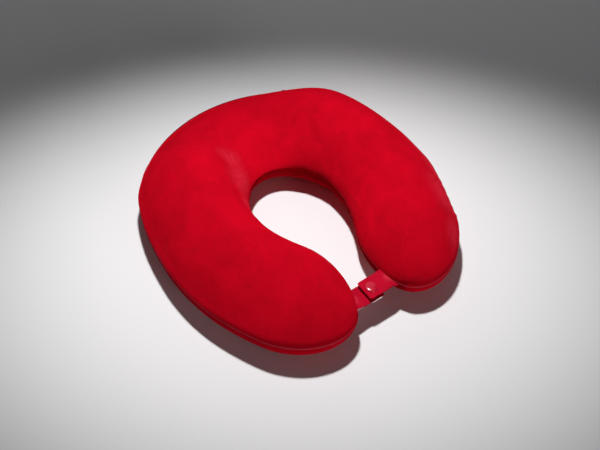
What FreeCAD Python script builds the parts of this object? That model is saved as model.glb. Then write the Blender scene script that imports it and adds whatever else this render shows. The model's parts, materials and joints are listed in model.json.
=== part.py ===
"""U-shaped neck pillow: a foam core in a liner, inside a zipped velour cover with a snap strap.

Units are millimetres. +Z is up, the pillow lies flat on z = 0, and its U opens towards -Y.
The origin is the middle of the footprint, under the neck hole. X = 0 is the mirror plane.
Everything is drawn about the centre of the back arc, and moved to the origin at the end.
"""

import FreeCAD, Part

import math
import os

Vec = FreeCAD.Vector

# Plan of the U: the centreline of one arm, from the middle of the back to the tip, is three arcs.
BACK_RADIUS = 88.0
BACK_TURN = 67.5
ARM_RADIUS = 145.0
ARM_TURN = 46.0
END_RADIUS = 220.0
END_LENGTH = 90.0

# Cross-section of the stuffed tube, measured on the outside of the cover.
SEAM_HEIGHT = 30.0
BACK_HALF_WIDTH = 54.0
ARM_HALF_WIDTH = 48.0
BACK_HEIGHT = 60.0
ARM_HEIGHT = 90.0
WIDTH_CHANGE = (74.0, 150.0)
HEIGHT_CHANGE = (20.0, 95.0)
# Fullness is the weight of each quarter's corner: a true ellipse below the seam, a leaner crest above it.
BOTTOM_FULLNESS = math.sqrt(0.5)
TOP_FULLNESS = 0.41
# How far the crest leans towards the neck, for each millimetre above the seam.
CREST_LEAN = 0.116
UNDERSIDE_SQUASH = 5.0
TIP_LENGTH = 66.0
TIP_ROUNDNESS = 1.85
TIP_SCALES = (0.98, 0.93, 0.85, 0.74, 0.6, 0.44, 0.26)
BODY_STATIONS = 9

# Layers, as depths below the outside of the cover.
COVER_THICKNESS = 1.4
LINER_DEPTH = 2.9
LINER_THICKNESS = 0.5
FOAM_DEPTH = 3.6

# Zipper in the back seam, closed with its slider at the +X end.
# Heights are from the seam, depths from the outside of the cover.
ZIP_HALF_ANGLE = 46.0
ZIP_WINDOW_HALF_HEIGHT = 5.0
ZIP_WINDOW_HALF_DEPTH = 8.0
TAPE_TOP_DEPTH = 0.7
TAPE_THICKNESS = 0.6
CHAIN_GAP = 0.9
COIL_HEIGHT = 1.9
COIL_THICKNESS = 1.6
STOP_LENGTH_ANGLE = 0.7
COIL_END_ANGLE = 45.0
SLIDER_LENGTH_ANGLE = 4.0
SLIDER_PARK_ANGLE = 42.5
SLIDER_HALF_HEIGHT = 3.6
SLIDER_CLEARANCE = 0.3
SLIDER_PLATE = 0.9
SLIDER_WEB_THICKNESS = 0.5
SLIDER_WEB_LENGTH_ANGLE = 1.6
BAIL_HALF_HEIGHT = 1.6
BAIL_WIRE = 1.0
BAIL_STAND_OFF = 2.4
PULL_LENGTH = 22.0
PULL_HALF_HEIGHT = 2.6
PULL_THICKNESS = 1.2
PULL_CORNER = 1.2
PULL_EYE_CLEARANCE = 0.2
PULL_EYE_WALL = 0.6
PULL_OVERLAP = 0.3

# Straps across the mouth of the U, closed by a snap in the middle.
STRAP_Y = -134.0
STRAP_WIDTH = 21.0
STRAP_THICKNESS = 2.2
STRAP_WALL = 0.5
STRAP_HINGE_X = 16.0
STRAP_REACH = 24.0
STRAP_CORNER = 2.0
STRAP_GAP = 3.2
HINGE_CLEARANCE = 0.3
TAB_END_X = 30.0
TAB_SLOPE_LENGTH = 5.0
TAB_TRIM_DEPTH = 2.4

# Size 20 plastic snap.
CAP_RADIUS = 6.2
CAP_RIM = 0.6
CAP_CROWN = 1.4
SNAP_RADIUS = 5.35
STUD_FLANGE = 1.0
STUD_BOSS_RADIUS = 2.1
STUD_BOSS_HEIGHT = 1.4
SOCKET_RECESS_RADIUS = 2.7
SOCKET_WEB = 0.5
SOCKET_CLEARANCE = 0.4
PRONG_RADIUS = 0.9

# Blank care label, folded double and sewn into the back seam beside the zipper.
LABEL_ANGLE = 54.0
LABEL_WIDTH = 24.0
LABEL_LENGTH = 16.0
LABEL_THICKNESS = 0.5
LABEL_DROOP = 35.0

FAR = 400.0
UP = Vec(0, 0, 1)
SEAM_RADIUS = BACK_RADIUS + BACK_HALF_WIDTH
BACK_LENGTH = BACK_RADIUS * math.radians(BACK_TURN)
ARM_LENGTH = ARM_RADIUS * math.radians(ARM_TURN)
CENTRELINE = BACK_LENGTH + ARM_LENGTH + END_LENGTH
UPPER_STRAP_Z = SEAM_HEIGHT + (STRAP_GAP + STRAP_THICKNESS) / 2
LOWER_STRAP_Z = SEAM_HEIGHT - (STRAP_GAP + STRAP_THICKNESS) / 2


def along_arc(x, y, heading, radius, length):
    """The point and heading reached by a clockwise arc. Heading 0 is +X and 90 degrees is -Y."""
    turned = heading + length / radius
    x += radius * (math.sin(turned) - math.sin(heading))
    y -= radius * (math.cos(heading) - math.cos(turned))
    return x, y, turned


def centreline_point(distance):
    """Point and heading of the +X arm's centreline, at a distance from the middle of the back."""
    place = along_arc(0.0, BACK_RADIUS, 0.0, BACK_RADIUS, min(distance, BACK_LENGTH))
    past_back = max(distance - BACK_LENGTH, 0.0)
    place = along_arc(*place, ARM_RADIUS, min(past_back, ARM_LENGTH))
    past_arm = max(past_back - ARM_LENGTH, 0.0)
    return along_arc(*place, END_RADIUS, past_arm)


def eased(distance, change):
    """0 before the change, 1 after it, and a smooth step between."""
    share = (distance - change[0]) / (change[1] - change[0])
    share = min(max(share, 0.0), 1.0)
    return share * share * (3 - 2 * share)


def quarter(centre, first, second, fullness):
    """A quarter of an oval about centre, from the end of one half-axis to the end of the other."""
    curve = Part.BezierCurve()
    curve.setPoles([centre + first, centre + first + second, centre + second])
    curve.setWeight(2, fullness)
    return curve.toShape()


def section(distance, side, scale, inset):
    """Closed cross-section of the tube, inset from the outside of the cover."""
    x, y, heading = centreline_point(distance)
    half_width = BACK_HALF_WIDTH + (ARM_HALF_WIDTH - BACK_HALF_WIDTH) * eased(distance, WIDTH_CHANGE)
    height = BACK_HEIGHT + (ARM_HEIGHT - BACK_HEIGHT) * eased(distance, HEIGHT_CHANGE)
    centre = Vec(side * x, y, SEAM_HEIGHT)
    outward = Vec(side * math.sin(heading), math.cos(heading), 0)
    across = outward * ((half_width - inset) * scale)
    rise = (UP - outward * CREST_LEAN) * ((height - SEAM_HEIGHT - inset) * scale)
    drop = UP * ((SEAM_HEIGHT + UNDERSIDE_SQUASH - inset) * scale)
    edges = [quarter(centre, across, rise, TOP_FULLNESS), quarter(centre, rise, -across, TOP_FULLNESS)]
    edges += [quarter(centre, -across, -drop, BOTTOM_FULLNESS), quarter(centre, -drop, across, BOTTOM_FULLNESS)]
    return Part.Wire(edges)


def stations(inset):
    """Distances along one arm and the section's scale there, rounding off towards the tip."""
    cap_start = CENTRELINE - TIP_LENGTH
    places = [(cap_start * i / (BODY_STATIONS - 1), 1.0) for i in range(BODY_STATIONS)]
    for scale in TIP_SCALES:
        share = (1 - scale ** TIP_ROUNDNESS) ** (1 / TIP_ROUNDNESS)
        places.append((cap_start + share * (TIP_LENGTH - inset), scale))
    return places


def tube(inset):
    """The whole U as one closed solid, inset from the outside of the cover, flat underneath."""
    places = stations(inset)
    wires = [section(distance, -1, scale, inset) for distance, scale in reversed(places[1:])]
    wires += [section(distance, 1, scale, inset) for distance, scale in places]
    above_floor = Part.makeBox(2 * FAR, 2 * FAR, FAR, Vec(-FAR, -FAR, inset))
    return Part.makeLoft(wires, True).common(above_floor)


def back_band(low_z, high_z, inner_radius, outer_radius, start_angle, end_angle):
    """A ring segment about the back arc's centre. Angles are clockwise from +Y, seen from above."""
    low = SEAM_HEIGHT + low_z
    corners = [Vec(0, inner_radius, low), Vec(0, outer_radius, low)]
    corners += [Vec(0, outer_radius, SEAM_HEIGHT + high_z), Vec(0, inner_radius, SEAM_HEIGHT + high_z)]
    face = Part.Face(Part.makePolygon(corners + corners[:1]))
    face.rotate(Vec(), UP, -start_angle)
    return face.revolve(Vec(), UP, start_angle - end_angle)


def half_space(above_seam):
    low = SEAM_HEIGHT if above_seam else SEAM_HEIGHT - FAR
    return Part.makeBox(2 * FAR, 2 * FAR, FAR, Vec(-FAR, -FAR, low))


def zipper_window():
    half = ZIP_WINDOW_HALF_HEIGHT
    inner, outer = SEAM_RADIUS - ZIP_WINDOW_HALF_DEPTH, SEAM_RADIUS + ZIP_WINDOW_HALF_DEPTH
    return back_band(-half, half, inner, outer, -ZIP_HALF_ANGLE, ZIP_HALF_ANGLE)


def zipper_tape(side):
    near = CHAIN_GAP / 2
    low, high = sorted((side * near, side * ZIP_WINDOW_HALF_HEIGHT))
    outer = SEAM_RADIUS - TAPE_TOP_DEPTH
    return back_band(low, high, outer - TAPE_THICKNESS, outer, -ZIP_HALF_ANGLE, ZIP_HALF_ANGLE)


def zipper_coil(side):
    near = CHAIN_GAP / 2
    low, high = sorted((side * near, side * (near + COIL_HEIGHT)))
    inner = SEAM_RADIUS - TAPE_TOP_DEPTH
    return back_band(low, high, inner, inner + COIL_THICKNESS, -COIL_END_ANGLE, COIL_END_ANGLE)


def zipper_stop(side, start_angle):
    """A stop clamped on one tape, just past the end of its coil."""
    near = CHAIN_GAP / 2
    low, high = sorted((side * near, side * (near + COIL_HEIGHT)))
    inner = SEAM_RADIUS - TAPE_TOP_DEPTH
    return back_band(low, high, inner, inner + COIL_THICKNESS, start_angle, start_angle + STOP_LENGTH_ANGLE)


def zipper_top_stops():
    return Part.makeCompound([zipper_stop(1, COIL_END_ANGLE), zipper_stop(-1, COIL_END_ANGLE)])


def zipper_bottom_stop():
    """One staple that joins both coils at the open end, towards -X."""
    reach = CHAIN_GAP / 2 + COIL_HEIGHT
    inner = SEAM_RADIUS - TAPE_TOP_DEPTH
    start = -COIL_END_ANGLE - STOP_LENGTH_ANGLE
    return back_band(-reach, reach, inner, inner + COIL_THICKNESS, start, -COIL_END_ANGLE)


def zipper_slider():
    """Slider body: two plates and flanges round the chain, a thin web between the coils, and a bail."""
    start = SLIDER_PARK_ANGLE - SLIDER_LENGTH_ANGLE / 2
    end = start + SLIDER_LENGTH_ANGLE
    half = SLIDER_HALF_HEIGHT
    tape_outer = SEAM_RADIUS - TAPE_TOP_DEPTH
    plate_inner = tape_outer + COIL_THICKNESS + SLIDER_CLEARANCE
    plate_outer = plate_inner + SLIDER_PLATE
    back_outer = tape_outer - TAPE_THICKNESS - SLIDER_CLEARANCE
    flange = CHAIN_GAP / 2 + COIL_HEIGHT + SLIDER_CLEARANCE
    flange_inner = tape_outer + SLIDER_CLEARANCE
    web = SLIDER_WEB_THICKNESS / 2
    web_start = end - SLIDER_WEB_LENGTH_ANGLE
    body = back_band(-half, half, plate_inner, plate_outer, start, end)
    body = body.fuse(back_band(flange, half, flange_inner, plate_inner, start, end))
    body = body.fuse(back_band(-half, -flange, flange_inner, plate_inner, start, end))
    body = body.fuse(back_band(-half, half, back_outer - SLIDER_PLATE, back_outer, start, end))
    body = body.fuse(back_band(-web, web, back_outer, plate_inner, web_start, end))
    return body.fuse(slider_bail(plate_outer, SLIDER_PARK_ANGLE)).removeSplitter()


def slider_bail(base_radius, angle):
    """The loop on the slider that the pull turns on, with its bar along Z."""
    half = BAIL_HALF_HEIGHT
    width_angle = math.degrees(BAIL_WIRE / base_radius) / 2
    top = base_radius + BAIL_STAND_OFF
    span = (angle - width_angle, angle + width_angle)
    bail = back_band(-half, half, top - BAIL_WIRE, top, *span)
    bail = bail.fuse(back_band(half - BAIL_WIRE / 2, half, base_radius, top, *span))
    return bail.fuse(back_band(-half, BAIL_WIRE / 2 - half, base_radius, top, *span))


def pull_axis():
    """Point on the pull's turning axis, which runs up through the middle of the bail's bar."""
    tape_outer = SEAM_RADIUS - TAPE_TOP_DEPTH
    plate_outer = tape_outer + COIL_THICKNESS + SLIDER_CLEARANCE + SLIDER_PLATE
    radius = plate_outer + BAIL_STAND_OFF - BAIL_WIRE / 2
    angle = math.radians(SLIDER_PARK_ANGLE)
    return Vec(radius * math.sin(angle), radius * math.cos(angle), SEAM_HEIGHT)


def zipper_pull():
    """Pull tab hooked round the bail's square bar, lying along the zipper."""
    eye_inner = BAIL_WIRE * math.sqrt(0.5) + PULL_EYE_CLEARANCE
    eye_outer = eye_inner + PULL_EYE_WALL
    eye_half = BAIL_HALF_HEIGHT - BAIL_WIRE / 2 - PULL_EYE_CLEARANCE
    eye = Part.makeCylinder(eye_outer, 2 * eye_half, Vec(0, 0, -eye_half))
    neck_start = eye_outer - PULL_OVERLAP
    tab = Part.makeBox(PULL_LENGTH, PULL_THICKNESS, 2 * PULL_HALF_HEIGHT,
                       Vec(neck_start + BAIL_WIRE, -PULL_THICKNESS / 2, -PULL_HALF_HEIGHT))
    neck = Part.makeBox(BAIL_WIRE + PULL_OVERLAP, PULL_THICKNESS, 2 * eye_half,
                        Vec(neck_start, -PULL_THICKNESS / 2, -eye_half))
    corners = [e for e in tab.Edges if abs(e.Vertexes[0].Y - e.Vertexes[-1].Y) > PULL_THICKNESS / 2]
    tab = tab.makeFillet(PULL_CORNER, corners)
    hole = Part.makeCylinder(eye_inner, 4 * eye_half, Vec(0, 0, -2 * eye_half))
    pull = eye.fuse(neck).fuse(tab).cut(hole).removeSplitter()
    pull.rotate(Vec(), UP, 180 - SLIDER_PARK_ANGLE)
    pull.translate(pull_axis())
    return pull


def strap_blank(side, mid_z, thickness, margin):
    """Strap outline with rounded free corners and a rounded root, shrunk all round by a margin."""
    width = STRAP_WIDTH - 2 * margin
    reach = STRAP_REACH - margin
    plate = Part.makeBox(reach, width, thickness, Vec(0, -width / 2, -thickness / 2))
    corners = [e for e in plate.Edges if abs(e.Vertexes[0].Z - e.Vertexes[-1].Z) > thickness / 2
               and e.CenterOfMass.x > reach / 2]
    plate = plate.makeFillet(STRAP_CORNER - margin, corners)
    if margin == 0:
        plate = plate.fuse(Part.makeCylinder(thickness / 2, width, Vec(0, -width / 2, 0), Vec(0, 1, 0)))
    if side > 0:
        plate.rotate(Vec(), UP, 180)
    plate.translate(Vec(side * STRAP_HINGE_X, STRAP_Y, mid_z))
    return plate


def prong_hole(mid_z):
    return Part.makeCylinder(PRONG_RADIUS, 2 * STRAP_THICKNESS, Vec(0, STRAP_Y, mid_z - STRAP_THICKNESS))


def strap_sleeve(side, mid_z):
    """Velour sleeve of a strap, hollow for its interlining."""
    outside = strap_blank(side, mid_z, STRAP_THICKNESS, 0)
    inside = strap_blank(side, mid_z, STRAP_THICKNESS - 2 * STRAP_WALL, STRAP_WALL * 2)
    return outside.cut(inside).cut(prong_hole(mid_z)).removeSplitter()


def strap_interlining(side, mid_z):
    inside = strap_blank(side, mid_z, STRAP_THICKNESS - 2 * STRAP_WALL, STRAP_WALL * 2)
    return inside.cut(prong_hole(mid_z))


def strap_tab(side, mid_z, filling):
    """Root of a strap, caught in the perimeter seam and ending just short of the hinge line."""
    half = STRAP_THICKNESS / 2
    near = side * (STRAP_HINGE_X + half + HINGE_CLEARANCE)
    far = side * TAB_END_X
    inner = side * (STRAP_HINGE_X + TAB_SLOPE_LENGTH)
    profile = [Vec(near, 0, mid_z - half), Vec(inner, 0, SEAM_HEIGHT - half), Vec(far, 0, SEAM_HEIGHT - half)]
    profile += [Vec(far, 0, SEAM_HEIGHT + half), Vec(inner, 0, SEAM_HEIGHT + half), Vec(near, 0, mid_z + half)]
    face = Part.Face(Part.makePolygon(profile + profile[:1]))
    tab = face.extrude(Vec(0, STRAP_WIDTH, 0))
    tab.translate(Vec(0, STRAP_Y - STRAP_WIDTH / 2, 0))
    return tab.cut(filling)


def snap_cap(strap_z, facing):
    """Domed cap on a strap's outer face, with the prong that passes through the strap."""
    radius = (CAP_RADIUS ** 2 + (CAP_CROWN - CAP_RIM) ** 2) / (2 * (CAP_CROWN - CAP_RIM))
    rim = Part.makeCylinder(CAP_RADIUS, CAP_CROWN)
    dome = Part.makeSphere(radius, Vec(0, 0, CAP_CROWN - radius))
    prong_length = STRAP_THICKNESS + SOCKET_WEB
    prong = Part.makeCylinder(PRONG_RADIUS, prong_length, Vec(0, 0, -prong_length))
    cap = rim.common(dome).fuse(prong)
    if facing < 0:
        cap.rotate(Vec(), Vec(1, 0, 0), 180)
    cap.translate(Vec(0, STRAP_Y, strap_z + facing * STRAP_THICKNESS / 2))
    return cap.removeSplitter()


def snap_socket():
    """Socket under the upper strap. Its recess clears the stud's boss all round."""
    top = UPPER_STRAP_Z - STRAP_THICKNESS / 2
    bottom = LOWER_STRAP_Z + STRAP_THICKNESS / 2 + STUD_FLANGE + SOCKET_CLEARANCE
    ring = Part.makeCylinder(SNAP_RADIUS, top - bottom, Vec(0, STRAP_Y, bottom))
    recess = Part.makeCylinder(SOCKET_RECESS_RADIUS, top - bottom - SOCKET_WEB, Vec(0, STRAP_Y, bottom))
    return ring.cut(recess).cut(prong_hole(UPPER_STRAP_Z))


def snap_stud():
    base = LOWER_STRAP_Z + STRAP_THICKNESS / 2
    flange = Part.makeCylinder(SNAP_RADIUS, STUD_FLANGE, Vec(0, STRAP_Y, base))
    boss = Part.makeCylinder(STUD_BOSS_RADIUS, STUD_FLANGE + STUD_BOSS_HEIGHT, Vec(0, STRAP_Y, base))
    prong_space = Part.makeCylinder(PRONG_RADIUS, SOCKET_WEB, Vec(0, STRAP_Y, base))
    return flange.fuse(boss).cut(prong_space).removeSplitter()


def care_label():
    """Blank folded label that leaves the seam outwards and droops."""
    label = Part.makeBox(LABEL_WIDTH, LABEL_LENGTH, LABEL_THICKNESS, Vec(-LABEL_WIDTH / 2, 0, -LABEL_THICKNESS))
    label.rotate(Vec(), Vec(1, 0, 0), -LABEL_DROOP)
    clear_of_seam = LABEL_THICKNESS * math.sin(math.radians(LABEL_DROOP))
    label.translate(Vec(0, SEAM_RADIUS + clear_of_seam, SEAM_HEIGHT))
    label.rotate(Vec(), UP, -LABEL_ANGLE)
    return label


def cover_and_filling():
    """Foam core, liner and the two cover panels, with the panels cut for the zipper and the strap tabs."""
    panels = tube(0).cut(tube(COVER_THICKNESS))
    liner = tube(LINER_DEPTH).cut(tube(LINER_DEPTH + LINER_THICKNESS))
    filling = tube(TAB_TRIM_DEPTH)
    parts = {"foam_core": tube(FOAM_DEPTH), "inner_liner": liner}
    parts["strap_right_tab"] = strap_tab(1, UPPER_STRAP_Z, filling)
    parts["strap_left_tab"] = strap_tab(-1, LOWER_STRAP_Z, filling)
    panels = panels.cut(zipper_window()).cut(parts["strap_right_tab"]).cut(parts["strap_left_tab"])
    parts["cover_top_panel"] = panels.common(half_space(True))
    parts["cover_bottom_panel"] = panels.common(half_space(False))
    return parts


def all_parts():
    parts = cover_and_filling()
    parts["zipper_tape_upper"] = zipper_tape(1)
    parts["zipper_tape_lower"] = zipper_tape(-1)
    parts["zipper_coil_upper"] = zipper_coil(1)
    parts["zipper_coil_lower"] = zipper_coil(-1)
    parts["zipper_top_stops"] = zipper_top_stops()
    parts["zipper_bottom_stop"] = zipper_bottom_stop()
    parts["zipper_slider"] = zipper_slider()
    parts["zipper_pull"] = zipper_pull()
    parts["strap_right_sleeve"] = strap_sleeve(1, UPPER_STRAP_Z)
    parts["strap_right_interlining"] = strap_interlining(1, UPPER_STRAP_Z)
    parts["strap_left_sleeve"] = strap_sleeve(-1, LOWER_STRAP_Z)
    parts["strap_left_interlining"] = strap_interlining(-1, LOWER_STRAP_Z)
    parts["snap_cap"] = snap_cap(UPPER_STRAP_Z, 1)
    parts["snap_socket"] = snap_socket()
    parts["snap_stud"] = snap_stud()
    parts["snap_stud_cap"] = snap_cap(LOWER_STRAP_Z, -1)
    parts["care_label"] = care_label()
    return parts


def main():
    parts = all_parts()
    os.makedirs("parts", exist_ok=True)
    box = Part.makeCompound(list(parts.values())).optimalBoundingBox(False, False)
    to_origin = Vec(0, -(box.YMin + box.YMax) / 2, 0)
    for name, shape in parts.items():
        shape.translate(to_origin)
        shape.exportStep("parts/" + name + ".step")
        print(name, "valid" if shape.isValid() else "INVALID", len(shape.Solids), round(shape.Volume))
    print("moved by", round(to_origin.y, 3), "box", box)


main()
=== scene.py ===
"""U-shaped velour neck pillow: cover, straps, snap and zipper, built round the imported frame. In metres."""

import json
import math

import bpy
import bmesh
import numpy as np
from mathutils import Matrix, Vector
from mathutils.kdtree import KDTree


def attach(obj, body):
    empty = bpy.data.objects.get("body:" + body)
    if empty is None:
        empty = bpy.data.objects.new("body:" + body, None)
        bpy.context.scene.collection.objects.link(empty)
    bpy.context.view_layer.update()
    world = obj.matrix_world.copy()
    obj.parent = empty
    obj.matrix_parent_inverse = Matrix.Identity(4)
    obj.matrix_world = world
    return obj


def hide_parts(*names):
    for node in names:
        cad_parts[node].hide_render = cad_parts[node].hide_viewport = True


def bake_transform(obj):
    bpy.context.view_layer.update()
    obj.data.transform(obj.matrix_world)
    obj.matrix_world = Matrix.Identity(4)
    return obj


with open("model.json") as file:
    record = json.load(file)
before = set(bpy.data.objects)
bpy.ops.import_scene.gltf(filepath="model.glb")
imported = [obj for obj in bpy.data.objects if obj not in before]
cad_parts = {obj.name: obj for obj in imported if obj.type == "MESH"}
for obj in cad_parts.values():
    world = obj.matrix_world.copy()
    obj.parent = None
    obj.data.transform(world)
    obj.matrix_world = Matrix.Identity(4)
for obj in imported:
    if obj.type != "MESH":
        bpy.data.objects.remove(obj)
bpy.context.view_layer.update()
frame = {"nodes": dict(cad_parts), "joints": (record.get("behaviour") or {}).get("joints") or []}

MM = 0.001
JOINTS = {joint["name"]: joint for joint in frame["joints"]}

# Plan of the U, as in the CAD: three arcs per arm about the back arc's centre.
BACK_CENTRE_Y = JOINTS["zipper_slide"]["pos_m"][1]
BACK_RADIUS = 88 * MM
BACK_TURN = math.radians(67.5)
ARM_RADIUS = 145 * MM
ARM_TURN = math.radians(46)
END_RADIUS = 220 * MM
END_LENGTH = 90 * MM
BACK_LENGTH = BACK_RADIUS * BACK_TURN
ARM_LENGTH = ARM_RADIUS * ARM_TURN
CENTRELINE = BACK_LENGTH + ARM_LENGTH + END_LENGTH

# Cross-section of the stuffed tube.
SEAM_Z = JOINTS["zipper_slide"]["pos_m"][2]
BACK_HALF_WIDTH, ARM_HALF_WIDTH = 54 * MM, 48 * MM
BACK_HEIGHT, ARM_HEIGHT = 60 * MM, 90 * MM
WIDTH_CHANGE = (74 * MM, 150 * MM)
HEIGHT_CHANGE = (20 * MM, 95 * MM)
UNDERSIDE_SQUASH = 5 * MM
TIP_LENGTH = 66 * MM
TIP_ROUNDNESS = 1.85
BOTTOM_FULLNESS = math.sqrt(0.5)
TOP_FULLNESS = 0.41
CREST_LEAN = 0.116
PROFILE_SAMPLES = 120

# Cover: mesh spacing, fabric thickness and the shape of its seam.
STATION_SPACING = 2.0 * MM
TOP_PROFILE_POINTS = 100
BOTTOM_PROFILE_POINTS = 76
COVER_THICKNESS = 1.4 * MM
SEAM_DEPTH = 0.4 * MM
SEAM_WIDTH = 0.9 * MM
SEAM_RIDGE = 0.1 * MM
SEAM_RIDGE_AT = 1.8 * MM
SEAM_REACH = 6 * MM
STITCH_PULL = 0.15
PUCKER = 0.09 * MM

# Painted light on the velour: a painted highlight on the top panel's rolled edge at the seam, fading out
# behind the hole, and paler painted light on the wall beside the outer seam.
RIM_WIDTH = 0.9 * MM
RIM_BACK_END = 5 * MM
RIM_BACK_FADE = 40 * MM
HOLE_SIDE = 20 * MM
# Width of the painted light on the wall beside the outer seam.
WALL_LIGHT_WIDTH = 11 * MM

# Lumps in the stuffing: a place and a radius in millimetres, and a height in millimetres.
TOP_LUMPS = [((-116, 86, 36), 15, 1.6), ((-97, 105, 42), 13, 1.0), ((126, -48, 46), 14, 1.3),
             ((112, -112, 38), 11, 1.4)]
BOTTOM_LUMPS = [((-118, 84, 26), 14, 1.0)]

# Creases: a place and a radius, the direction across them, their spacing and height, and a seed.
TOP_CREASES = [((116, -88, 44), 28, (0.3, -1, 0), 8, 0.45, 21),
               ((98, -126, 38), 18, (0.7, -0.7, 0), 7, 0.4, 23),
               ((126, -106, 38), 18, (0.35, -1, 0), 7, 0.75, 29),
               ((-35, -90, 66), 15, (-0.5, -0.8, 0.3), 7, 0.2, 25),
               ((-38, 22, 46), 22, (0.4, -0.9, 0), 8, 0.12, 27)]
BOTTOM_CREASES = [((118, -90, 22), 30, (0.3, -1, 0), 9, 0.25, 31)]

# Cloth simulation of the cover.
SIM_SPACING = 6.5 * MM
SIM_TOP_POINTS = 26
SIM_BOTTOM_POINTS = 20
SIM_FRAMES = 16
SIM_PRESSURE = 3.0
SIM_STIFFNESS = 12
SIM_BENDING = 0.4
SIM_SWELL_CAP = 0.7 * MM
SIM_DENT_CAP = 0.5 * MM
PUFF_FADE = 36 * MM
SMOOTHING_PASSES = 6

# Zipper, about the back arc's centre. Depths are from the outside of the cover.
SEAM_RADIUS = BACK_RADIUS + BACK_HALF_WIDTH
ZIP_HALF_ANGLE = math.radians(46)
ZIP_END_EASE = math.radians(1.5)
ZIP_TRENCH_HALF_HEIGHT = 4.5 * MM
ZIP_TRENCH_DEPTH = 3.2 * MM
ZIP_EDGE_ROLL = 0.3 * MM
ZIP_EDGE_PUCKER = 0.12 * MM
STITCH_SINK = 0.3 * MM
TAPE_TOP_DEPTH = 0.7 * MM
CHAIN_GAP = 0.9 * MM
COIL_HEIGHT = 1.9 * MM
COIL_THICKNESS = 1.6 * MM
COIL_END_ANGLE = math.radians(45)
COIL_PITCH = 1.25 * MM
COIL_WIRE_RADIUS = 0.24 * MM
STITCH_LENGTH, STITCH_GAP, STITCH_RADIUS = 2.1 * MM, 0.8 * MM, 0.24 * MM
STITCH_LINE = 7.2 * MM

# Straps and snap.
STRAP_Y = JOINTS["strap_right_lift"]["pos_m"][1]
STRAP_HINGE_X = JOINTS["strap_right_lift"]["pos_m"][0]
STRAP_HALF_WIDTH = 10.5 * MM
STRAP_HALF_THICKNESS = 1.1 * MM
STRAP_FREE_X = -8 * MM
STRAP_ROOT_X = 30 * MM
STRAP_SLOPE_X = 23 * MM
STRAP_CORNER = 2.2 * MM
STRAP_NOSE = 3 * MM
STRAP_SIDE_ROUNDNESS, STRAP_FACE_ROUNDNESS = 9, 2.6
STRAP_FOLD = 1.3 * MM
STRAP_FOLD_AT = STRAP_HINGE_X + 1.2 * MM
STRAP_FOLD_WIDTH = 1.5 * MM
STRAP_WAVER = 0.08 * MM
CAP_RADIUS = 6.2 * MM
CAP_CROWN = 1.5 * MM
CAP_FLATNESS = 3.4
UPPER_STRAP_Z = JOINTS["strap_right_lift"]["pos_m"][2]
LOWER_STRAP_Z = JOINTS["strap_left_drop"]["pos_m"][2]

# Care label, folded double, in the back seam beside the zipper.
LABEL_ANGLE = math.radians(54)
LABEL_HALF_WIDTH = 12 * MM
LABEL_LENGTH = 16 * MM
LABEL_DROOP = (math.radians(28), math.radians(44))
LABEL_LAYER_GAP = 0.35 * MM
LABEL_THICKNESS = 0.12 * MM
LABEL_CURL = 0.5 * MM
LABEL_ROOT_RADIUS = SEAM_RADIUS - 0.6 * MM

# Camera and light. The turn is from straight in front of the mouth, towards -X.
PHOTO_ELEVATION = math.radians(50.55)
PHOTO_TURN = math.radians(34.63)
CAMERA_DISTANCE = 0.868
LENS_PER_SENSOR = 868 / 600
SENSOR_WIDTH_MM = 36
CAMERA_SHIFT = (0.0243, -0.0165)
LIGHT_PLACE = (0.0235, 0.0805, 0.87)
POOL_CENTRE = -0.055
POOL_ASIDE = 0.008
POOL_STRETCH = (1.45, 1.0, 1.0)
FLOOR_HALF_SIZE = 3.0
FLOOR_DROP = 0.4 * MM


# ---------------------------------------------------------------- shape of the tube

def along_arc(x, y, heading, radius, length):
    """Place and heading after following an arc from a place and a heading."""
    turned = heading + length / radius
    return (x + radius * (np.sin(turned) - np.sin(heading)),
            y - radius * (np.cos(heading) - np.cos(turned)), turned)


def centreline(distance):
    """Plan position and heading of the +X arm's centreline, for an array of distances from the back."""
    start = (0.0, BACK_RADIUS, 0.0)
    x, y, heading = along_arc(*start, BACK_RADIUS, np.minimum(distance, BACK_LENGTH))
    past_back = np.maximum(distance - BACK_LENGTH, 0)
    x, y, heading = along_arc(x, y, heading, ARM_RADIUS, np.minimum(past_back, ARM_LENGTH))
    past_arm = np.maximum(past_back - ARM_LENGTH, 0)
    return along_arc(x, y, heading, END_RADIUS, past_arm)


def smooth(share):
    """Eases a share from 0 to 1, level at both ends."""
    share = np.clip(share, 0, 1)
    return share * share * (3 - 2 * share)


def eased(distance, change):
    return smooth((distance - change[0]) / (change[1] - change[0]))


def oval_quarter(samples, fullness):
    """A quarter of a unit oval, from its side to its top: how far across and how far up it is."""
    u = np.linspace(0, 1, samples)
    first, corner, last = (1 - u) ** 2, 2 * fullness * u * (1 - u), u ** 2
    total = first + corner + last
    return (first + corner) / total, (corner + last) / total


def seam_spaced(count):
    """Shares from 0 to 1, close together at both ends, where the seams are."""
    u = np.linspace(0, 1, count)
    return 0.62 * (0.5 - 0.5 * np.cos(math.pi * u)) + 0.38 * u


def half_width_at(distance):
    return BACK_HALF_WIDTH + (ARM_HALF_WIDTH - BACK_HALF_WIDTH) * eased(distance, WIDTH_CHANGE)


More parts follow.
